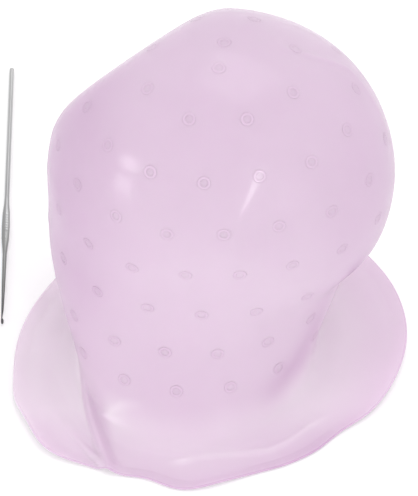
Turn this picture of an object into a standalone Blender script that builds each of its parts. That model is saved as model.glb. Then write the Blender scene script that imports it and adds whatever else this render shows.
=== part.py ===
"""Hair highlighting cap with its pulling hook.

The cap is one soft silicone moulding: a large round crown on a narrower neck that flares out
into a wide wavy brim, which it stands on. Its crown and brim are made as two solids that meet
in the neck with a small gap. The hook is one length of steel wire lying beside the cap.
Lengths are in millimetres until the meshes are made.
"""

import math

import bpy
import numpy as np

MILLIMETRE = 0.001
SET_MIDDLE = (-3.5, 44.4)          # middle of the whole set, from the middle of the brim

# The cap, about the middle of the brim.
WALL = 1.2
PART_GAP = 0.3
BULB_CENTRE = (5.0, 25.0, 95.0)
BULB_RADII = (80.0, 70.0, 87.0)
BULB_STEPS = ((0, 0), (25, -1.5), (50, 1.6), (75, -0.2))   # degrees down from the pole, extra half width
LOWER_RINGS = (                    # height, left, right, front, back
    (83, -74, 82, -44, 94),
    (58, -73.5, 66, -44, 80),
    (38, -69, 58, -47, 63),
    (22, -64, 52, -51, 51),
    (10, -62, 51, -58, 48),
    (5, -70, 63, -64.5, 58),
    (2.6, -79, 78, -70, 68),
    (WALL, -85, 86, -75, 74),
    (WALL, -91, 92, -79, 79),
)
NECK_RING = len(BULB_STEPS) + 4    # where the crown's solid ends and the brim's starts
NECK_RING_DROP = 11                # mm down the neck per ring there
LAST_RING = len(BULB_STEPS) + len(LOWER_RINGS) - 1

EDGE_LOBES = (                     # direction, width in degrees, reach
    (198, 10, 3),
    (217, 11, 5),
    (236, 8, -1),
    (250, 8, -3),
    (262, 8, 1.6),
    (284, 12, -3.2),
    (298, 7, -1.2),
    (312, 10, -4.2),
)
BRIM_WAVES = ((205, 20, 5), (272, 10, 1.6), (340, 22, 4), (62, 22, 5), (122, 20, 4))   # and lift
WAVE_REST = 0.6                    # the brim lies flat between waves
BRIM_SWAY = 0.10                   # how far the brim slews back per mm to the right
SWAY_TOP = 60                      # height at which that has faded out

# Soft flats pressed into the crown: direction, distance from the bulb's centre, softness.
CROWN_FLATS = (
    ((-0.56, 0.65, 0.51), 67, 7),
)
PANEL_SIDES = (                    # the front panel's sides as x, height; it lies right of each
    ((21, 168), (-44, 72)),
    ((-44, 72), (-53, 10)),
    ((46, 12), (64, 92)),
    ((64, 92), (21, 168)),
)
PANEL_DEPTH = 6
PANEL_EDGE = 45                    # softness of its sides
PANEL_BACK_EDGE = 30               # softness of its fade towards the back
PANEL_FOOT = (10, 50)              # heights between which it reaches its full depth
FOLD_PATH = (                      # the raised fold over the left front brim: x, y, height
    (-58.5, -4, 26),
    (-58.5, -20, 15),
    (-57, -35, 11),
    (-54.5, -47, 9),
    (-50.5, -59, 6.2),
    (-47, -68, 4.2),
    (-46, -74, 2.6),
)
FOLD_WIDTH = 6
BROW_RIDGE = (                     # down the front of the crown, above the panel: x, y, z, rise
    (27, -13, 166, 0.2),
    (20, -23, 153, 1.1),
    (14, -31, 138, 2.2),
    (7, -37, 118, 1.4),
    (-6, -42, 98, 0),
)
SIDE_CREASE = (                    # down the right of the neck: x, y, z, rise
    (68, -16, 80, -0.6),
    (58, -20, 55, -1.2),
    (50, -22, 35, -1.4),
    (42, -30, 24, -1.2),
    (32, -40, 16, -0.4),
)
CREASES = ((BROW_RIDGE, 10), (SIDE_CREASE, 6))   # path, width

AROUND = 90
CROWN_ROWS = 20
BRIM_ROWS = 11
FIRST_RING = 0.35                  # place of the ring next to the pole

# The hook, lying along Y on the floor.
HOOK_X = -98.0
HOOK_TIP_Y = 13.0
HOOK_SIDES = 12
ROD_RADIUS = 1.15
HOOK_SECTIONS = (                  # distance from the tip, half width, half thickness
    (0.0, 0.25, 0.25),
    (0.5, 0.55, 0.50),
    (1.6, 0.65, 0.55),
    (2.9, 0.50, 0.40),
    (4.4, 0.45, 0.42),
    (8.2, 0.60, 0.60),
    (41.5, 1.00, 1.00),
    (45.0, 1.20, 0.95),
    (50.0, 1.75, 0.80),
    (59.0, 1.95, 0.75),
    (68.0, 1.70, 0.80),
    (73.5, 1.20, 1.00),
    (76.5, ROD_RADIUS, ROD_RADIUS),
    (157.4, ROD_RADIUS, ROD_RADIUS),
    (158.0, 0.85, 0.85),
)

LILAC = (0.82, 0.64, 0.80, 1.0)
STEEL = (0.55, 0.55, 0.56, 1.0)


def smooth(x):
    """0 below 0, 1 above 1 and an S curve between them."""
    x = np.clip(x, 0.0, 1.0)
    return x * x * (3.0 - 2.0 * x)


def ring_rows():
    """Every ring as centre x, centre y, height, half width, half depth, with one spare at each end."""
    centre_x, centre_y, centre_z = BULB_CENTRE
    radius_x, radius_y, radius_z = BULB_RADII
    rows = []
    for step, extra in BULB_STEPS:
        slope = math.radians(step)
        spread = math.sin(slope)
        height = centre_z + radius_z * math.cos(slope)
        rows.append((centre_x, centre_y, height, radius_x * spread + extra, radius_y * spread))
    for height, left, right, front, back in LOWER_RINGS:
        rows.append(((left + right) / 2, (front + back) / 2, height, (right - left) / 2, (back - front) / 2))
    rows = np.array(rows)
    over_the_pole = rows[1] * np.array([1, 1, 1, -1, -1])
    past_the_edge = 2 * rows[-1] - rows[-2]
    return np.vstack([over_the_pole, rows, past_the_edge])


def smooth_curve(rows, place):
    """A curve through rows 1, 2, 3 ... at places 0, 1, 2 ..."""
    index = np.clip(np.floor(place).astype(int), 0, len(rows) - 4)
    step = (place - index)[..., None]
    before, start, end, after = (rows[index + offset] for offset in range(4))
    return 0.5 * (
        2 * start
        + (end - before) * step
        + (2 * before - 5 * start + 4 * end - after) * step**2
        + (3 * start - before - 3 * end + after) * step**3
    )


def bump(angle, middle, width):
    """A smooth bump around a direction, in degrees."""
    away = (np.degrees(angle) - middle + 180) % 360 - 180
    return np.exp(-((away / width) ** 2))


def press_flat(points, direction, distance, softness):
    """Press back whatever stands further than distance from the bulb's centre."""
    normal = np.array(direction) / np.linalg.norm(direction)
    over = (points - np.array(BULB_CENTRE)) @ normal - distance
    eased = (over + softness) ** 2 / (4 * softness)
    push = np.where(over > softness, over, np.where(over > -softness, eased, 0.0))
    return points - push[..., None] * normal


def beside_line(x, z, start, end):
    """Signed distance of x, z to the left of a line in the front view."""
    along = np.array(end, float) - np.array(start, float)
    along /= np.linalg.norm(along)
    return along[0] * (z - start[1]) - along[1] * (x - start[0])


def inside_panel(points):
    """0 outside the front panel, rising smoothly to 1 over its soft edges, seen from the front."""
    x, z = points[..., 0], points[..., 2]
    inside = np.ones(points.shape[:-1])
    for start, end in PANEL_SIDES:
        inside *= smooth(beside_line(x, z, start, end) / PANEL_EDGE + 0.5)
    return inside * smooth((BULB_CENTRE[1] - points[..., 1]) / PANEL_BACK_EDGE)


def sink_front_panel(points):
    """The shallow hollow in the front of the crown, between the panel's sides."""
    foot, full = PANEL_FOOT
    moved = points.copy()
    moved[..., 1] += PANEL_DEPTH * inside_panel(points) * smooth((points[..., 2] - foot) / (full - foot))
    return moved


def crease_rise(points, path, width):
    """How far one crease lifts each point."""
    nearest = np.full(points.shape[:-1], np.inf)
    rise = np.zeros(points.shape[:-1])
    for start, end in zip(path, path[1:]):
        start, end = np.array(start, float), np.array(end, float)
        along = (end - start)[:3]
        share = np.clip(((points - start[:3]) @ along) / (along @ along), 0, 1)
        away = np.linalg.norm(points - start[:3] - share[..., None] * along, axis=-1)
        rise = np.where(away < nearest, start[3] + share * (end[3] - start[3]), rise)
        nearest = np.minimum(nearest, away)
    return rise * np.exp(-((nearest / width) ** 2))


def add_creases(points):
    """The soft ridge down the front of the crown and the hollow down the right of the neck."""
    outward = points - np.array(BULB_CENTRE)
    outward[..., 2] = np.maximum(outward[..., 2], 0)
    outward /= np.linalg.norm(outward, axis=-1, keepdims=True)
    moved = points.copy()
    for path, width in CREASES:
        moved += crease_rise(points, path, width)[..., None] * outward
    return moved


def raise_fold(points, on_brim):
    """The fold that runs from the left of the neck over the front of the brim."""
    ridge = np.zeros(points.shape[:-1])
    for start, end in zip(FOLD_PATH, FOLD_PATH[1:]):
        start, end = np.array(start, float), np.array(end, float)
        along = (end - start)[:2]
        share = np.clip(((points[..., :2] - start[:2]) @ along) / (along @ along), 0, 1)
        gap = points[..., :2] - start[:2] - share[..., None] * along
        height = start[2] + share * (end[2] - start[2])
        away = np.linalg.norm(gap, axis=-1) / FOLD_WIDTH
        ridge = np.maximum(ridge, height * np.exp(-(away**2)))
    moved = points.copy()
    moved[..., 2] = np.maximum(points[..., 2], ridge * on_brim)
    return moved


def cap_surface(angle, place):
    """A point of the cap's outer surface: place 0 is the pole and LAST_RING the brim's edge."""
    ring = smooth_curve(ring_rows(), place)
    points = np.stack(
        [ring[..., 0] + ring[..., 3] * np.cos(angle), ring[..., 1] + ring[..., 4] * np.sin(angle), ring[..., 2]],
        axis=-1,
    )
    on_brim = smooth((place - NECK_RING) / (LAST_RING - NECK_RING))
    for middle, width, reach in EDGE_LOBES:
        points[..., 0] += on_brim * reach * bump(angle, middle, width) * np.cos(angle)
        points[..., 1] += on_brim * reach * bump(angle, middle, width) * np.sin(angle)
    waves = sum(lift * bump(angle, middle, width) for middle, width, lift in BRIM_WAVES)
    points[..., 2] += on_brim * np.maximum(waves - WAVE_REST, 0)
    points[..., 2] = np.maximum(points[..., 2], WALL)
    points[..., 1] += BRIM_SWAY * points[..., 0] * smooth((SWAY_TOP - points[..., 2]) / SWAY_TOP)
    for direction, distance, softness in CROWN_FLATS:
        points = press_flat(points, direction, distance, softness)
    points = sink_front_panel(points)
    points = add_creases(points)
    return raise_fold(points, smooth(place - NECK_RING))


def surface_grid(places):
    """The outer surface and the inner one a wall's thickness inside it, as rows of rings."""
    angle, place = np.meshgrid(np.linspace(0, 2 * math.pi, AROUND, endpoint=False), places)
    step = 0.01
    outer = cap_surface(angle, place)
    across = cap_surface(angle + step, place) - cap_surface(angle - step, place)
    down = cap_surface(angle, place + step) - cap_surface(angle, place - step)
    normal = np.cross(down, across)
    normal /= np.linalg.norm(normal, axis=-1, keepdims=True)
    inner = outer - WALL * normal
    inner[..., 2] = np.maximum(inner[..., 2], 0.0)
    return outer, inner


def wall_faces(rows, first, flip):
    """Quads between the rings of one skin."""
    faces = []
    for row in range(rows - 1):
        for column in range(AROUND):
            beside = (column + 1) % AROUND
            a = first + row * AROUND + column
            b = first + row * AROUND + beside
            face = [a, a + AROUND, b + AROUND, b]
            faces.append(face[::-1] if flip else face)
    return faces


def edge_faces(outer_first, inner_first, flip):
    """Quads across the wall's thickness between one outer and one inner ring."""
    faces = []
    for column in range(AROUND):
        beside = (column + 1) % AROUND
        face = [outer_first + column, inner_first + column, inner_first + beside, outer_first + beside]
        faces.append(face[::-1] if flip else face)
    return faces


def pole_faces(pole, ring, flip):
    """Triangles that close the top of one skin."""
    faces = []
    for column in range(AROUND):
        face = [pole, ring + column, ring + (column + 1) % AROUND]
        faces.append(face[::-1] if flip else face)
    return faces


def make_material(name, color, roughness, metallic):
    material = bpy.data.materials.new(name)
    material.use_nodes = True
    shader = material.node_tree.nodes["Principled BSDF"]
    shader.inputs["Base Color"].default_value = color
    shader.inputs["Roughness"].default_value = roughness
    shader.inputs["Metallic"].default_value = metallic
    return material


def add_object(name, points, faces, material):
    """One closed object from millimetre points about the brim's middle."""
    shift = np.array([SET_MIDDLE[0], SET_MIDDLE[1], 0.0])
    mesh = bpy.data.meshes.new(name)
    mesh.from_pydata(((np.asarray(points) - shift) * MILLIMETRE).tolist(), [], faces)
    mesh.materials.append(material)
    mesh.validate()
    mesh.update()
    mesh.shade_smooth()
    thing = bpy.data.objects.new(name, mesh)
    bpy.context.scene.collection.objects.link(thing)
    return thing


def make_crown(material):
    """The crown and neck: a thin shell, closed at the pole and open below."""
    end = NECK_RING - PART_GAP / NECK_RING_DROP
    places = np.linspace(FIRST_RING, end, CROWN_ROWS)
    outer, inner = surface_grid(places)
    pole = cap_surface(np.array([0.0]), np.array([0.0]))
    points = np.vstack([outer.reshape(-1, 3), inner.reshape(-1, 3), pole, pole - [0, 0, WALL]])
    count = CROWN_ROWS * AROUND
    faces = wall_faces(CROWN_ROWS, 0, False) + wall_faces(CROWN_ROWS, count, True)
    faces += edge_faces(count - AROUND, 2 * count - AROUND, False)
    faces += pole_faces(2 * count, 0, False) + pole_faces(2 * count + 1, count, True)
    return add_object("crown_shell", points, faces, material)


def make_brim(material):
    """The flared skirt from the neck out to the wavy edge."""
    places = np.linspace(NECK_RING, LAST_RING, BRIM_ROWS)
    outer, inner = surface_grid(places)
    points = np.vstack([outer.reshape(-1, 3), inner.reshape(-1, 3)])
    count = BRIM_ROWS * AROUND
    faces = wall_faces(BRIM_ROWS, 0, False) + wall_faces(BRIM_ROWS, count, True)
    faces += edge_faces(count - AROUND, 2 * count - AROUND, False)
    faces += edge_faces(0, count, True)
    return add_object("brim", points, faces, material)


def make_hook(material):
    """A wire with a flattened thumb rest, a tapered shank and a small hooked tip."""
    points = []
    for distance, half_width, half_thickness in HOOK_SECTIONS:
        for side in range(HOOK_SIDES):
            angle = 2 * math.pi * side / HOOK_SIDES
            points.append((
                HOOK_X + half_width * math.cos(angle),
                HOOK_TIP_Y + distance,
                ROD_RADIUS + half_thickness * math.sin(angle),
            ))
    faces = []
    for row in range(len(HOOK_SECTIONS) - 1):
        for side in range(HOOK_SIDES):
            a = row * HOOK_SIDES + side
            b = row * HOOK_SIDES + (side + 1) % HOOK_SIDES
            faces.append([a, a + HOOK_SIDES, b + HOOK_SIDES, b])
    faces.append(list(range(HOOK_SIDES)))
    last = len(points) - HOOK_SIDES
    faces.append([last + side for side in reversed(range(HOOK_SIDES))])
    return add_object("pull_hook", points, faces, material)


def main():
    for thing in list(bpy.data.objects):
        bpy.data.objects.remove(thing, do_unlink=True)
    silicone = make_material("lilac_silicone", LILAC, 0.35, 0.0)
    steel = make_material("hook_steel", STEEL, 0.3, 1.0)
    make_crown(silicone)
    make_brim(silicone)
    make_hook(steel)


main()
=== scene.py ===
"""The looks of the highlighting cap and its pulling hook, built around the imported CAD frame."""

import math

import bpy
import numpy as np
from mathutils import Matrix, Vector


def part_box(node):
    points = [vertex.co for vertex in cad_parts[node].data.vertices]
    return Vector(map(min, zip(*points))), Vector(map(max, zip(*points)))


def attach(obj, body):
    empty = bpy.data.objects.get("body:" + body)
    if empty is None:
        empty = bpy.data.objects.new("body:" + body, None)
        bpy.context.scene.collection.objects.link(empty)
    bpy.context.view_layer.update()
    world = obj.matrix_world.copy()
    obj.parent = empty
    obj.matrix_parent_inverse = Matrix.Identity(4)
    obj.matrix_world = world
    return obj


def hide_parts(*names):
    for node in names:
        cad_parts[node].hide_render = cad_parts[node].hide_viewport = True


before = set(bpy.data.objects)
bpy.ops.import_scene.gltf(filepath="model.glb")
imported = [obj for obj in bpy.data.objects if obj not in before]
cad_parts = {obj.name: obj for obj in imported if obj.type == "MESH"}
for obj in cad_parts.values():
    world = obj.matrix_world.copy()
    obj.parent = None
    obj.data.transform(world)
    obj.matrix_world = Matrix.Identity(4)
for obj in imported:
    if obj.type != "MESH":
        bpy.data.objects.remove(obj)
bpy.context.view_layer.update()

MILLIMETRE = 0.001
SET_MIDDLE = (-3.5, 44.4)          # middle of the whole set, from the middle of the brim

# The cap's shape, as the CAD has it: millimetres about the middle of the brim.
WALL = 1.2
BULB_CENTRE = (5.0, 25.0, 95.0)
BULB_RADII = (80.0, 70.0, 87.0)
BULB_STEPS = ((0, 0), (25, -1.5), (50, 1.6), (75, -0.2))   # degrees down from the pole, extra half width
LOWER_RINGS = (                    # height, left, right, front, back
    (83, -74, 82, -44, 94),
    (58, -73.5, 66, -44, 80),
    (38, -69, 58, -47, 63),
    (22, -64, 52, -51, 51),
    (10, -62, 51, -58, 48),
    (5, -70, 63, -64.5, 58),
    (2.6, -79, 78, -70, 68),
    (WALL, -85, 86, -75, 74),
    (WALL, -91, 92, -79, 79),
)
NECK_RING = len(BULB_STEPS) + 4
LAST_RING = len(BULB_STEPS) + len(LOWER_RINGS) - 1
EDGE_LOBES = (                     # direction, width in degrees, reach
    (198, 10, 3),
    (217, 11, 5),
    (236, 8, -1),
    (250, 8, -3),
    (262, 8, 1.6),
    (284, 12, -3.2),
    (298, 7, -1.2),
    (312, 10, -4.2),
)
BRIM_WAVES = ((205, 20, 5), (272, 10, 1.6), (340, 22, 4), (62, 22, 5), (122, 20, 4))   # and lift
WAVE_REST = 0.6                    # the brim lies flat between waves
BRIM_SWAY = 0.10                   # how far the brim slews back per mm to the right
SWAY_TOP = 60                      # height at which that has faded out

# Soft flats pressed into the crown: direction, distance from the bulb's centre, softness.
CROWN_FLATS = (
    ((-0.56, 0.65, 0.51), 67, 7),
)
PANEL_SIDES = (                    # the front panel's sides as x, height; it lies right of each
    ((21, 168), (-44, 72)),
    ((-44, 72), (-53, 10)),
    ((46, 12), (64, 92)),
    ((64, 92), (21, 168)),
)
PANEL_DEPTH = 6
PANEL_EDGE = 45                    # softness of its sides where it is sunk
PANEL_TINT_EDGE = 30               # softness of its sides where it is tinted
PANEL_BACK_EDGE = 30               # softness of its fade towards the back
PANEL_FOOT = (10, 50)              # heights between which it reaches its full depth
MAIN_FOLD = (                      # the fold over the left front brim: x, y, height, outer and inner width
    (-58.5, -4, 26, 3.2, 14),
    (-58.5, -20, 15, 3.2, 14),
    (-57, -35, 11, 3.2, 11),
    (-54.5, -47, 8.4, 3.0, 9),
    (-50.5, -59, 5.4, 2.8, 7.5),
    (-47, -68, 3.6, 2.6, 5),
    (-46, -74, 2.6, 2.4, 3.5),
)
SIDE_FOLD = (                      # a smaller fold that meets its foot
    (-70, -42, 0.2, 1.8, 3),
    (-62, -54, 2.4, 1.8, 3),
    (-53, -64, 3.2, 1.8, 3),
    (-47, -71, 2.5, 1.8, 3),
)
FOLD_BLEND = 1.5                   # how softly a fold grows out of the surface
TOP_CREASE = (                     # round the top right of the crown: x, y, z, rise
    (24, 45, 177, 0.3),
    (34, 34, 176, 0.6),
    (49, 36, 167, 0.7),
    (61, 39, 155, 0.7),
    (72, 32, 143, 0.5),
    (79, 26, 129, 0.2),
)
BROW_RIDGE = (                     # down the front of the crown, above the panel: x, y, z, rise
    (27, -13, 166, 0.2),
    (20, -23, 153, 1.1),
    (14, -31, 138, 2.2),
    (7, -37, 118, 1.4),
    (-6, -42, 98, 0),
)
SIDE_CREASE = (                    # down the right of the neck: x, y, z, rise
    (68, -16, 80, -0.6),
    (58, -20, 55, -1.2),
    (50, -22, 35, -1.4),
    (42, -30, 24, -1.2),
    (32, -40, 16, -0.4),
)
CREASES = ((TOP_CREASE, 2.2), (BROW_RIDGE, 10), (SIDE_CREASE, 6))   # path, width
BRIM_WRINKLES = (                  # fine ridges on the front of the brim: x, y, height
    ((-50, -44.5, 0.3), (-42, -45.5, 0.8), (-29, -48, 0.0)),
    ((-18, -68, 0.2), (-12, -67.5, 0.9), (-6, -66, 0.3)),
    ((-6, -66, 0.3), (15, -63, 0.5), (28, -60.5, 0.6), (37, -55, 0.6), (46, -47, 0.5), (56, -40, 0.0)),
)
WRINKLE_WIDTH = 1.5
WRINKLE_FADE = (18, 26)            # heights between which the wrinkles die out up the neck

CAP_AROUND = 288
CAP_ROWS = 210
FIRST_RING = 0.12                  # place of the ring next to the pole
EDGE_TURNS = 4                     # steps round the edge of the brim
NORMAL_STEP = 0.004                # step in angle and place for the surface's direction
RIM_PAINTED_SHADE = 0.4                    # painted shade: how much darker the brim's rounded edge is painted, a thin dark outline

# The moulded ring marks that show where the hook goes through.
MARK_SPACING = 24.5
LOWER_MARK_ROWS = (                # way up the front, and round from its middle to the first mark
    (37, 15.5),
    (57, 8.5),
    (86, -6.0),
    (116, -16.0),
)
MARK_ROW_STEP = 26                 # between the rows above those
MARK_RADIUS = 2.35
MARK_LINE = 0.65
MARK_HEIGHT = 0.09
# Painted shade: the ring marks' lines are painted this much darker than the skin around them.
MARK_PAINTED_SHADE = 0.05
MARK_AROUND = 26                   # points round a mark
MARK_TUBE = 8                      # points round its line
MARK_FADE = (70, 120)              # heights between which the marks grow faint
FAINT_MARK = 0.35                  # share of their relief and painted shade left above that

# The hook, lying along Y on the floor.
HOOK_X = -98.0
HOOK_TIP_Y = 13.0
HOOK_SIDES = 28
HOOK_STEP = 0.4
ROD_RADIUS = 1.15
HOOK_SECTIONS = (                  # way from the tip, sideways offset, half width, half thickness
    (0.0, 0.10, 0.05, 0.05),
    (0.3, 0.12, 0.40, 0.36),
    (1.0, 0.10, 0.62, 0.52),
    (2.2, 0.05, 0.66, 0.55),
    (2.9, -0.05, 0.50, 0.46),
    (3.4, -0.22, 0.28, 0.40),
    (4.6, -0.20, 0.32, 0.42),
    (7.8, -0.04, 0.52, 0.55),
    (21.0, 0, 0.82, 0.82),
    (41.5, 0, 1.02, 1.02),
    (45.0, 0, 1.25, 0.92),
    (51.0, 0, 1.78, 0.80),
    (59.0, 0, 1.92, 0.76),
    (67.0, 0, 1.72, 0.80),
    (72.5, 0, 1.26, 0.98),
    (76.0, 0, ROD_RADIUS, ROD_RADIUS),
    (105.0, 0, ROD_RADIUS, ROD_RADIUS),
    (157.2, 0, ROD_RADIUS, ROD_RADIUS),
    (157.7, 0, 1.02, 1.02),
    (158.0, 0, 0.75, 0.75),
)
GRIP_RIDGES = (55.5, 66.0, 1.55)   # first, last, spacing from the tip
RIDGE_DEPTH = 0.10

# The silicone's colour runs from deep at 0 to pale at 1; the values below give its tint, with painted light
# and shade laid into it.
DEEP_LILAC = (0.58, 0.39, 0.57)
PALE_LILAC = (0.88, 0.735, 0.855)
CROWN_PALENESS = 0.36
SIDE_PAINTED_SHADE = 0.15                  # painted shade, taken off towards both sides of the crown
LEFT_PAINTED_SHADE = 0.15                  # painted shade, taken off down the left of the front
CREASE_PAINTED_SHADE = 0.35                # painted shade, taken off in the crease down the right of the neck
CREASE_PAINTED_SHADE_WIDTH = 8
PANEL_PAINTED_LIGHT = 0.03              # painted light, added on the front panel
# The brim is painted paler than the crown, palest behind: painted light against the shade the crown casts on
# it.
FRONT_BRIM_PALENESS = 0.62
BACK_BRIM_PALENESS = 1.0
OUTER_BRIM_SHADE = 0.2             # taken off towards the brim's edge
BRIM_PAINTED_LIGHT_TILT = 0.2 / 80               # painted light on the left and painted shade on the right, taken off per mm to the right
# Painted shade: the level the crest and outer side of the main fold are pulled to.
FOLD_PAINTED_SHADE = 0.42
WRINKLE_PAINTED_LIGHT = 0.3             # painted highlight, added per mm of a wrinkle's height

FLOOR_HALF_SIZE = 6.0              # metres
FLOOR_DROP = 0.0005                # metres, below what stands on it
CAMERA_ELEVATION = 52              # degrees
CAMERA_DISTANCE = 1.88             # metres
CAMERA_TARGET_HEIGHT = 76.0
CAMERA_TARGET_SHIFT = -0.5


def smooth(x):
    """0 below 0, 1 above 1 and an S curve between them."""
    x = np.clip(x, 0.0, 1.0)
    return x * x * (3.0 - 2.0 * x)


def ring_rows():
    """Every ring as centre x, centre y, height, half width, half depth, with one spare at each end."""
    centre_x, centre_y, centre_z = BULB_CENTRE
    radius_x, radius_y, radius_z = BULB_RADII
    rows = []
    for step, extra in BULB_STEPS:
        slope = math.radians(step)
        spread = math.sin(slope)
        height = centre_z + radius_z * math.cos(slope)
        rows.append((centre_x, centre_y, height, radius_x * spread + extra, radius_y * spread))
    for height, left, right, front, back in LOWER_RINGS:
        rows.append(((left + right) / 2, (front + back) / 2, height, (right - left) / 2, (back - front) / 2))
    rows = np.array(rows)
    over_the_pole = rows[1] * np.array([1, 1, 1, -1, -1])
    past_the_edge = 2 * rows[-1] - rows[-2]
    return np.vstack([over_the_pole, rows, past_the_edge])


def smooth_curve(rows, place):
    """A curve through rows 1, 2, 3 ... at places 0, 1, 2 ..."""
    index = np.clip(np.floor(place).astype(int), 0, len(rows) - 4)
    step = (place - index)[..., None]
    before, start, end, after = (rows[index + offset] for offset in range(4))
    return 0.5 * (
        2 * start
        + (end - before) * step
        + (2 * before - 5 * start + 4 * end - after) * step**2
        + (3 * start - before - 3 * end + after) * step**3
    )


def bump(angle, middle, width):
    """A smooth bump around a direction, in degrees."""
    away = (np.degrees(angle) - middle + 180) % 360 - 180
    return np.exp(-((away / width) ** 2))


def fade(values, start, end):
    """0 at start and before, 1 at end and beyond, with an S curve between; start may be the greater."""
    return smooth((values - start) / (end - start))


def beside_path(points, start, end):
    """How far along a line each point lies, from 0 to 1, and its offset from the line."""
    along = end - start
    share = np.clip(((points - start) @ along) / (along @ along), 0, 1)
    return share, points - start - share[..., None] * along


def press_flat(points, direction, distance, softness):
    """Press back whatever stands further than distance from the bulb's centre."""
    normal = np.array(direction) / np.linalg.norm(direction)
    over = (points - np.array(BULB_CENTRE)) @ normal - distance
    eased = (over + softness) ** 2 / (4 * softness)
    push = np.where(over > softness, over, np.where(over > -softness, eased, 0.0))
    return points - push[..., None] * normal


def beside_line(x, z, start, end):
    """Signed distance of x, z to the left of a line in the front view."""
    along = np.array(end, float) - np.array(start, float)
    along /= np.linalg.norm(along)
    return along[0] * (z - start[1]) - along[1] * (x - start[0])


def inside_panel(points, edge):
    """0 outside the front panel, rising smoothly to 1 over a soft edge, seen from the front."""
    x, z = points[..., 0], points[..., 2]
    inside = np.ones(points.shape[:-1])
    for start, end in PANEL_SIDES:
        inside *= smooth(beside_line(x, z, start, end) / edge + 0.5)
    return inside * smooth((BULB_CENTRE[1] - points[..., 1]) / PANEL_BACK_EDGE)


def sink_front_panel(points):
    """The shallow hollow in the front of the crown, between the panel's sides."""
    moved = points.copy()
    moved[..., 1] += PANEL_DEPTH * inside_panel(points, PANEL_EDGE) * fade(points[..., 2], *PANEL_FOOT)
    return moved


def fold_shape(points, path):
    """Height of one fold's ridge, and how near its crest each point lies, from 0 to 1."""
    ridge = np.zeros(points.shape[:-1])
    near = np.zeros(points.shape[:-1])
    for start, end in zip(path, path[1:]):
        start, end = np.array(start, float), np.array(end, float)
        share, gap = beside_path(points[..., :2], start[:2], end[:2])
        height, outer_width, inner_width = (start[axis] + share * (end - start)[axis] for axis in (2, 3, 4))
        along = end - start
        inner = along[0] * gap[..., 1] - along[1] * gap[..., 0] > 0
        away = np.linalg.norm(gap, axis=-1)
        inner_profile = np.exp(-((away / inner_width) ** 2))
        outer_profile = np.maximum(1 - (away / outer_width) ** 2, 0)
        profile = np.where(inner, inner_profile, outer_profile)
        ridge = np.maximum(ridge, height * profile)
        near = np.maximum(near, profile)
    return ridge, near


def raise_folds(points):
    """The folds that run from the left of the neck over the front of the brim."""
    moved = points.copy()
    for path in (MAIN_FOLD, SIDE_FOLD):
        ridge = fold_shape(points, path)[0]
        height = moved[..., 2]
        joined = (height + ridge + np.hypot(height - ridge, FOLD_BLEND)) / 2
        moved[..., 2] = height + (joined - height) * smooth(ridge)
    return moved


def crease_shape(points, path, width):
    """Rise of one crease, and how near its line each point lies, from 0 to 1."""
    nearest = np.full(points.shape[:-1], np.inf)
    rise = np.zeros(points.shape[:-1])
    for start, end in zip(path, path[1:]):
        start, end = np.array(start, float), np.array(end, float)
        share, gap = beside_path(points, start[:3], end[:3])
        away = np.linalg.norm(gap, axis=-1)
        rise = np.where(away < nearest, start[3] + share * (end[3] - start[3]), rise)
        nearest = np.minimum(nearest, away)
    near = np.exp(-((nearest / width) ** 2))
    return rise * near, near


def add_creases(points):
    """The crease round the top of the crown, the ridge down its front and the hollow down the neck."""
    outward = points - np.array(BULB_CENTRE)
    outward[..., 2] = np.maximum(outward[..., 2], 0)
    outward /= np.linalg.norm(outward, axis=-1, keepdims=True)
    moved = points.copy()
    for path, width in CREASES:
        moved += crease_shape(points, path, width)[0][..., None] * outward
    return moved


def wrinkle_shape(points):
    """Height of the fine ridges on the front of the brim at each point."""
    height = np.zeros(points.shape[:-1])
    for path in BRIM_WRINKLES:
        for start, end in zip(path, path[1:]):
            start, end = np.array(start, float), np.array(end, float)
            share, gap = beside_path(points[..., :2], start[:2], end[:2])
            away = np.linalg.norm(gap, axis=-1)
            rise = (start[2] + share * (end[2] - start[2])) * np.exp(-((away / WRINKLE_WIDTH) ** 2))
            height = np.maximum(height, rise)
    return height * (1 - fade(points[..., 2], *WRINKLE_FADE))


def cap_surface(angle, place):
    """A point of the cap's outer surface: place 0 is the pole and LAST_RING the brim's edge."""
    ring = smooth_curve(ring_rows(), place)
    x = ring[..., 0] + ring[..., 3] * np.cos(angle)
    y = ring[..., 1] + ring[..., 4] * np.sin(angle)
    points = np.stack([x, y, ring[..., 2]], axis=-1)
    on_brim = smooth((place - NECK_RING) / (LAST_RING - NECK_RING))
    for middle, width, reach in EDGE_LOBES:
        points[..., 0] += on_brim * reach * bump(angle, middle, width) * np.cos(angle)
        points[..., 1] += on_brim * reach * bump(angle, middle, width) * np.sin(angle)
    waves = sum(lift * bump(angle, middle, width) for middle, width, lift in BRIM_WAVES)
    points[..., 2] += on_brim * np.maximum(waves - WAVE_REST, 0)
    points[..., 2] = np.maximum(points[..., 2], WALL)
    points[..., 1] += BRIM_SWAY * points[..., 0] * smooth((SWAY_TOP - points[..., 2]) / SWAY_TOP)
    for direction, distance, softness in CROWN_FLATS:
        points = press_flat(points, direction, distance, softness)
    points = sink_front_panel(points)
    points = add_creases(points)
    points[..., 2] += wrinkle_shape(points)
    return raise_folds(points)


def surface_normal(angle, place):
    """The outward direction of the cap's surface."""
    across = cap_surface(angle + NORMAL_STEP, place) - cap_surface(angle - NORMAL_STEP, place)
    down = cap_surface(angle, place + NORMAL_STEP) - cap_surface(angle, place - NORMAL_STEP)
    normal = np.cross(down, across)
    return normal / np.linalg.norm(normal, axis=-1, keepdims=True)


def band_faces(first, second, count):
    """Quads between two rings of count points each."""
    faces = []
    for index in range(count):
        beside = (index + 1) % count
        faces.append([first + index, second + index, second + beside, first + beside])
    return faces


def fan_faces(ring, middle, count, flip):
    """Triangles between a ring and the point that closes it."""
    faces = [[middle, ring + index, ring + (index + 1) % count] for index in range(count)]
    return [face[::-1] for face in faces] if flip else faces


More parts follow.
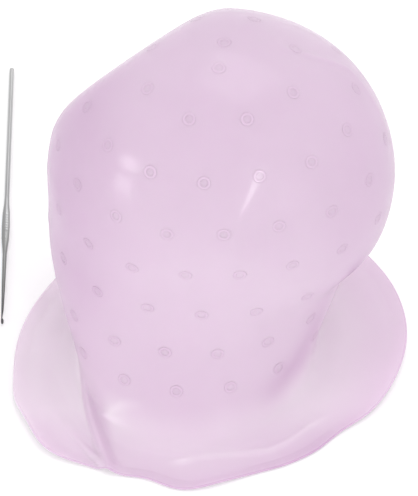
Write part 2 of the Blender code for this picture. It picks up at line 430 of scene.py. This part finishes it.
def add_piece(name, points, faces, material, body):
    """One smooth-shaded piece from millimetre points about the brim's middle."""
    shift = np.array([SET_MIDDLE[0], SET_MIDDLE[1], 0.0])
    mesh = bpy.data.meshes.new(name)
    mesh.from_pydata(((np.asarray(points) - shift) * MILLIMETRE).tolist(), [], faces)
    mesh.materials.append(material)
    mesh.update()
    mesh.shade_smooth()
    piece = bpy.data.objects.new(name, mesh)
    bpy.context.scene.collection.objects.link(piece)
    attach(piece, body)
    return piece


def crown_tone_and_painted_shade(points):
    """The crown and neck's tint, with painted shade at the sides, down the left and in the crease, and
    painted light on the front panel.
    """
    x, z = points[..., 0], points[..., 2]
    panel = inside_panel(points, PANEL_TINT_EDGE)
    sides = fade(z, 30, 80) * fade(np.abs(x - BULB_CENTRE[0]), 35, 80)
    left = fade(-x, 22, 68) * (1 - panel) * fade(z, 6, 16)
    crease = crease_shape(points, SIDE_CREASE, CREASE_PAINTED_SHADE_WIDTH)[1]
    painted_shades = SIDE_PAINTED_SHADE * sides + LEFT_PAINTED_SHADE * left + CREASE_PAINTED_SHADE * crease
    return CROWN_PALENESS - painted_shades + PANEL_PAINTED_LIGHT * panel


def brim_tone_and_painted_light(points):
    """The brim's tint with painted light: painted palest behind and at the left against the crown's shade
    and the right-hand softbox, deeper at the front and towards the edge.
    """
    x, y = points[..., 0], points[..., 1]
    painted_light_towards_back = (BACK_BRIM_PALENESS - FRONT_BRIM_PALENESS) * fade(y, -60, -30)
    towards_edge = OUTER_BRIM_SHADE * fade(np.hypot(x, y), 62, 82)
    return FRONT_BRIM_PALENESS + painted_light_towards_back - towards_edge - BRIM_PAINTED_LIGHT_TILT * x


def tone_and_painted_light(points):
    """The silicone's tint with painted light and shade, deep at 0 and pale at 1: the brim painted palest, a
    painted highlight on the wrinkles and painted shade on the main fold.
    """
    z = points[..., 2]
    crown = crown_tone_and_painted_shade(points)
    shade = crown + (brim_tone_and_painted_light(points) - crown) * fade(z, 24, 4)
    # Painted highlight along the wrinkle crests.
    shade += WRINKLE_PAINTED_LIGHT * wrinkle_shape(points)
    # Painted shade over the main fold's crest and outer side, low on the brim.
    painted_fold_shade = fade(fold_shape(points, MAIN_FOLD)[1], 0.3, 0.8) * fade(z, 36, 16)
    return shade - (shade - FOLD_PAINTED_SHADE) * painted_fold_shade


def gloss(points):
    """How glossy the silicone looks: glossy on the crown and along the left fold, satin on the brim."""
    return np.maximum(fade(points[..., 2], 45, 75), fade(-points[..., 0], 25, 40))


def paint(piece, name, values):
    """Store one value per vertex for the material to read."""
    layer = piece.data.color_attributes.new(name, "FLOAT_COLOR", "POINT")
    colors = np.repeat(np.asarray(values, float)[:, None], 4, axis=1)
    colors[:, 3] = 1.0
    layer.data.foreach_set("color", colors.ravel())


def make_cap_skin(material):
    """The whole cap as one thin moulding: outer skin, rounded edge and inner skin in one run of rings."""
    places = np.linspace(FIRST_RING, LAST_RING, CAP_ROWS)
    angle, place = np.meshgrid(np.linspace(0, 2 * math.pi, CAP_AROUND, endpoint=False), places)
    outer = cap_surface(angle, place)
    inner = outer - WALL * surface_normal(angle, place)
    inner[..., 2] = np.maximum(inner[..., 2], 0.0)
    middle = (outer[-1] + inner[-1]) / 2
    upward = (outer[-1] - inner[-1]) / 2
    outward = np.stack([np.cos(angle[-1]), np.sin(angle[-1]), np.zeros(CAP_AROUND)], axis=-1) * WALL / 2
    edge = []
    for turn in range(1, EDGE_TURNS):
        swing = math.pi * turn / EDGE_TURNS
        edge.append(middle + upward * math.cos(swing) + outward * math.sin(swing))
    rings = [*outer, *edge, *inner[::-1]]
    pole = cap_surface(np.array([0.0]), np.array([0.0]))
    points = np.vstack([*rings, pole, pole - [0, 0, WALL]])
    faces = []
    for row in range(len(rings) - 1):
        faces += band_faces(row * CAP_AROUND, (row + 1) * CAP_AROUND, CAP_AROUND)
    last = (len(rings) - 1) * CAP_AROUND
    top = len(rings) * CAP_AROUND
    faces += fan_faces(0, top, CAP_AROUND, False) + fan_faces(last, top + 1, CAP_AROUND, True)
    skin = add_piece("cap_moulding", points, faces, material, "cap")
    # Painted shade along the brim's rounded edge: its last ring and edge rings are painted darker.
    rim_painted_shade = np.zeros(len(points))
    rim_rings = slice((CAP_ROWS - 1) * CAP_AROUND, (CAP_ROWS + EDGE_TURNS) * CAP_AROUND)
    rim_painted_shade[rim_rings] = RIM_PAINTED_SHADE
    paint(skin, "tone_and_painted_light", tone_and_painted_light(points) - rim_painted_shade)
    paint(skin, "gloss", gloss(points))
    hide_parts("crown_shell", "brim")


def mark_rows():
    """Place and first mark's way round of every row of ring marks, from the brim up to the pole."""
    places = np.linspace(LAST_RING - 2, 0, 900)
    front = cap_surface(np.full_like(places, 1.5 * math.pi), places)
    climbed = np.concatenate([[0], np.cumsum(np.linalg.norm(np.diff(front, axis=0), axis=1))])
    rows = list(LOWER_MARK_ROWS)
    while rows[-1][0] + MARK_ROW_STEP < climbed[-1]:
        rows.append((rows[-1][0] + MARK_ROW_STEP, rows[-1][1] - MARK_SPACING / 3))
    return [(float(np.interp(climb, climbed, places)), start) for climb, start in rows]


def mark_centres():
    """Angle and place of every ring mark."""
    centres = []
    for place, start in mark_rows():
        angles = np.linspace(-0.5 * math.pi, 1.5 * math.pi, 721)
        ring = cap_surface(angles, np.full_like(angles, place))
        walked = np.concatenate([[0], np.cumsum(np.linalg.norm(np.diff(ring, axis=0), axis=1))])
        count = max(1, round(walked[-1] / MARK_SPACING))
        spacing = walked[-1] / count
        for index in range(count):
            distance = (start + index * spacing) % walked[-1]
            centres.append((float(np.interp(distance, walked, angles)), place))
    return centres


def mark_clearness(points):
    """How clearly the ring marks stand out: 1 on the neck, faint high on the crown."""
    return 1 - (1 - FAINT_MARK) * fade(points[..., 2], *MARK_FADE)


def make_ring_marks(material):
    """Small raised rings moulded into the crown, laid onto its surface."""
    step = 0.01
    turns = np.linspace(0, 2 * math.pi, MARK_AROUND, endpoint=False)
    swings = np.linspace(0, 2 * math.pi, MARK_TUBE, endpoint=False)
    angle, place = np.array(mark_centres()).T
    across = (cap_surface(angle + step, place) - cap_surface(angle - step, place)) / (2 * step)
    down = (cap_surface(angle, place + step) - cap_surface(angle, place - step)) / (2 * step)
    side_way = across / np.linalg.norm(across, axis=-1, keepdims=True)
    up_way = np.cross(surface_normal(angle, place), side_way)
    radius = (MARK_RADIUS + MARK_LINE * np.cos(swings))[:, None]
    flat = np.einsum("na,tr->ntra", side_way, radius * np.cos(turns))
    flat += np.einsum("na,tr->ntra", up_way, radius * np.sin(turns))
    shift = np.einsum("nij,ntrj->intr", np.linalg.pinv(np.stack([across, down], axis=-1)), flat)
    angles, places = angle[:, None, None] + shift[0], place[:, None, None] + shift[1]
    surface = cap_surface(angles, places)
    clear = mark_clearness(surface)
    lift = MARK_HEIGHT * clear[..., None] * np.sin(swings)[:, None, None]
    points = (surface + lift * surface_normal(angles, places)).reshape(-1, 3)
    faces = []
    for first in range(0, len(points), MARK_TUBE * MARK_AROUND):
        for side in range(MARK_TUBE):
            beside = (side + 1) % MARK_TUBE
            faces += band_faces(first + side * MARK_AROUND, first + beside * MARK_AROUND, MARK_AROUND)
    marks = add_piece("ring_marks", points, faces, material, "cap")
    # Painted shade along the marks' lines, fainter high on the crown.
    paint(marks, "tone_and_painted_light", tone_and_painted_light(points) - MARK_PAINTED_SHADE * clear.ravel())
    paint(marks, "gloss", gloss(points))


def hook_section(distance):
    """Sideways offset, half width and half thickness of the hook at a distance from its tip."""
    table = np.array(HOOK_SECTIONS, float)
    offset, width, thickness = (np.interp(distance, table[:, 0], table[:, column]) for column in (1, 2, 3))
    first, last, spacing = GRIP_RIDGES
    if first <= distance <= last:
        thickness -= RIDGE_DEPTH * (0.5 - 0.5 * math.cos(2 * math.pi * (distance - first) / spacing))
    return offset, width, thickness


def make_hook(material):
    """The wire hook with its flattened, cross-ridged thumb rest, tapered shank and hooked tip."""
    knots = [row[0] for row in HOOK_SECTIONS]
    distances = sorted(set(np.round(np.concatenate([knots, np.arange(0, knots[-1], HOOK_STEP)]), 3)))
    points, faces = [], []
    for distance in distances:
        offset, width, thickness = hook_section(distance)
        for side in range(HOOK_SIDES):
            swing = 2 * math.pi * side / HOOK_SIDES
            points.append((
                HOOK_X + offset + width * math.cos(swing),
                HOOK_TIP_Y + distance,
                ROD_RADIUS + thickness * math.sin(swing),
            ))
    for row in range(len(distances) - 1):
        faces += band_faces(row * HOOK_SIDES, (row + 1) * HOOK_SIDES, HOOK_SIDES)
    faces.append(list(range(HOOK_SIDES)))
    last = len(points) - HOOK_SIDES
    faces.append([last + side for side in reversed(range(HOOK_SIDES))])
    hook = add_piece("steel_hook", points, faces, material, "hook")
    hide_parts("pull_hook")


def new_material(name):
    """A node material with its nodes, links and shader."""
    material = bpy.data.materials.new(name)
    material.use_nodes = True
    nodes = material.node_tree.nodes
    return material, nodes, material.node_tree.links, nodes["Principled BSDF"]


def noise(nodes, links, scale, detail, stretch=(1, 1, 1)):
    """Noise in the object's own coordinates."""
    place = nodes.new("ShaderNodeTexCoord")
    mapping = nodes.new("ShaderNodeMapping")
    mapping.inputs["Scale"].default_value = stretch
    texture = nodes.new("ShaderNodeTexNoise")
    texture.inputs["Scale"].default_value = scale
    texture.inputs["Detail"].default_value = detail
    links.new(place.outputs["Object"], mapping.inputs["Vector"])
    links.new(mapping.outputs["Vector"], texture.inputs["Vector"])
    return texture.outputs["Fac"]


def ramp(nodes, links, source, stops):
    """A colour ramp from (position, colour) stops."""
    node = nodes.new("ShaderNodeValToRGB")
    elements = node.color_ramp.elements
    while len(elements) < len(stops):
        elements.new(0.5)
    for element, (position, color) in zip(elements, stops):
        element.position = position
        element.color = (*color, 1.0)
    links.new(source, node.inputs["Fac"])
    return node.outputs["Color"]


def add_bump(nodes, links, shader, height, strength, distance):
    """Relief from a height value; distance is its depth in metres."""
    node = nodes.new("ShaderNodeBump")
    node.inputs["Strength"].default_value = strength
    node.inputs["Distance"].default_value = distance
    links.new(height, node.inputs["Height"])
    links.new(node.outputs["Normal"], shader.inputs["Normal"])


def painted(nodes, name):
    """A value stored on the vertices by paint()."""
    node = nodes.new("ShaderNodeVertexColor")
    node.layer_name = name
    return node.outputs["Color"]


def blend(nodes, links, source, factor, add):
    """source x factor + add."""
    node = nodes.new("ShaderNodeMath")
    node.operation = "MULTIPLY_ADD"
    links.new(source, node.inputs[0])
    for socket, value in ((node.inputs[1], factor), (node.inputs[2], add)):
        if isinstance(value, float):
            socket.default_value = value
        else:
            links.new(value, socket)
    return node.outputs[0]


def silicone_material(name, scatter):
    """Soft translucent lilac silicone with a cloudy tint and a faintly uneven satin surface."""
    material, nodes, links, shader = new_material(name)
    # The base colour comes from the painted tint, with its painted light and shade, varied at random by a
    # cloudy noise.
    shade = blend(nodes, links, noise(nodes, links, 14, 3), 0.2, painted(nodes, "tone_and_painted_light"))
    tint = ramp(nodes, links, shade, ((0.0, DEEP_LILAC), (1.0, PALE_LILAC)))
    links.new(tint, shader.inputs["Base Color"])
    links.new(blend(nodes, links, painted(nodes, "gloss"), 0.4, 0.05), shader.inputs["Coat Weight"])
    shader.inputs["Subsurface Weight"].default_value = scatter
    shader.inputs["Subsurface Radius"].default_value = (1.0, 0.85, 1.0)
    shader.inputs["Subsurface Scale"].default_value = 0.004
    shader.inputs["Roughness"].default_value = 0.45
    shader.inputs["IOR"].default_value = 1.41
    shader.inputs["Specular IOR Level"].default_value = 0.1
    shader.inputs["Coat Roughness"].default_value = 0.18
    shader.inputs["Alpha"].default_value = 0.8
    add_bump(nodes, links, shader, noise(nodes, links, 60, 4), 0.12, 0.001)
    return material


def steel_material():
    """Drawn steel wire: streaks along its length, with painted dark reflections along the shank and tip."""
    material, nodes, links, shader = new_material("drawn_steel")
    streak = noise(nodes, links, 900, 3, (1, 0.02, 1))
    place = nodes.new("ShaderNodeTexCoord")
    split = nodes.new("ShaderNodeSeparateXYZ")
    links.new(place.outputs["Object"], split.inputs["Vector"])
    low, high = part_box("pull_hook")
    along = nodes.new("ShaderNodeMapRange")
    along.inputs["From Min"].default_value = low.y
    along.inputs["From Max"].default_value = high.y
    links.new(split.outputs["Y"], along.inputs["Value"])
    # Painted dark reflections: the steel is painted darker towards the shank and tip, in place of the dark
    # surroundings it would reflect.
    painted_reflection_tone = ramp(nodes, links, along.outputs["Result"], (
        (0.0, (0.10, 0.10, 0.10)),
        (0.05, (0.12, 0.12, 0.12)),
        (0.12, (0.22, 0.22, 0.22)),
        (0.30, (0.34, 0.34, 0.34)),
        (0.50, (0.50, 0.50, 0.51)),
        (1.0, (0.62, 0.62, 0.62)),
    ))
    shade = ramp(nodes, links, streak, ((0.3, (0.78, 0.78, 0.78)), (0.7, (1.0, 1.0, 1.0))))
    mix = nodes.new("ShaderNodeMix")
    mix.data_type = "RGBA"
    mix.blend_type = "MULTIPLY"
    mix.inputs["Factor"].default_value = 1.0
    links.new(painted_reflection_tone, mix.inputs["A"])
    links.new(shade, mix.inputs["B"])
    links.new(mix.outputs["Result"], shader.inputs["Base Color"])
    shader.inputs["Metallic"].default_value = 1.0
    shader.inputs["Roughness"].default_value = 0.3
    add_bump(nodes, links, shader, streak, 0.15, 0.0002)
    return material


def make_floor():
    """A plain white floor with a faint glow of its own, larger than any view of the cap."""
    material, _, _, shader = new_material("studio_floor")
    shader.inputs["Base Color"].default_value = (0.75, 0.75, 0.75, 1.0)
    shader.inputs["Roughness"].default_value = 0.9
    shader.inputs["Emission Color"].default_value = (1.0, 1.0, 1.0, 1.0)
    shader.inputs["Emission Strength"].default_value = 0.24
    mesh = bpy.data.meshes.new("studio_floor")
    signs = ((-1, -1), (1, -1), (1, 1), (-1, 1))
    corners = [(x * FLOOR_HALF_SIZE, y * FLOOR_HALF_SIZE, -FLOOR_DROP) for x, y in signs]
    mesh.from_pydata(corners, [], [(0, 1, 2, 3)])
    mesh.materials.append(material)
    floor = bpy.data.objects.new("studio_floor", mesh)
    bpy.context.scene.collection.objects.link(floor)


def aim(thing, target):
    """Turn a light or camera towards a point."""
    thing.rotation_euler = (target - thing.location).to_track_quat("-Z", "Y").to_euler()


def add_light(name, place, size, power, target, roll=0.0):
    """A rectangular softbox, turned about its own axis by roll degrees."""
    data = bpy.data.lights.new(name, "AREA")
    data.shape = "RECTANGLE"
    data.size, data.size_y = size
    data.energy = power
    light = bpy.data.objects.new(name, data)
    light.location = target + Vector(place)
    bpy.context.scene.collection.objects.link(light)
    aim(light, target)
    light.rotation_euler.rotate_axis("Z", math.radians(roll))


def make_lights(target):
    """A white room, a large soft front light near the camera, and softboxes for the highlights."""
    world = bpy.data.worlds.new("studio")
    bpy.context.scene.world = world
    world.use_nodes = True
    background = world.node_tree.nodes["Background"]
    background.inputs["Color"].default_value = (1.0, 1.0, 1.0, 1.0)
    background.inputs["Strength"].default_value = 0.86
    add_light("front_panel", (0.0, -1.1, 1.35), (1.3, 1.3), 0.4, target)
    add_light("top_panel", (0.3, 0.5, 1.6), (1.3, 1.3), 11.5, target)
    add_light("left_window_high", (-1.035, -0.556, 0.426), (0.28, 0.18), 1.7, target)
    add_light("left_window_low", (-1.06, -0.66, 0.08), (0.26, 0.24), 1.4, target)
    add_light("right_strip", (0.46, -1.125, 0.26), (0.08, 0.58), 3.5, target, roll=-14)


def make_camera():
    """A long lens looking down at the front of the cap."""
    elevation = math.radians(CAMERA_ELEVATION)
    data = bpy.data.cameras.new("camera")
    data.sensor_width = 36.0
    data.lens = 300.0
    data.clip_end = 20.0
    camera = bpy.data.objects.new("camera", data)
    bpy.context.scene.collection.objects.link(camera)
    target = Vector((CAMERA_TARGET_SHIFT - SET_MIDDLE[0], -SET_MIDDLE[1], CAMERA_TARGET_HEIGHT)) * MILLIMETRE
    back = Vector((0.0, -math.cos(elevation), math.sin(elevation)))
    camera.location = target + back * CAMERA_DISTANCE
    aim(camera, target)
    bpy.context.scene.camera = camera


bpy.context.scene.view_settings.view_transform = "Standard"
make_camera()
make_floor()
crown_low, crown_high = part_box("crown_shell")
make_lights((crown_low + crown_high) / 2)
make_cap_skin(silicone_material("lilac_silicone", 0.6))
make_ring_marks(silicone_material("lilac_marks", 0.0))
make_hook(steel_material())
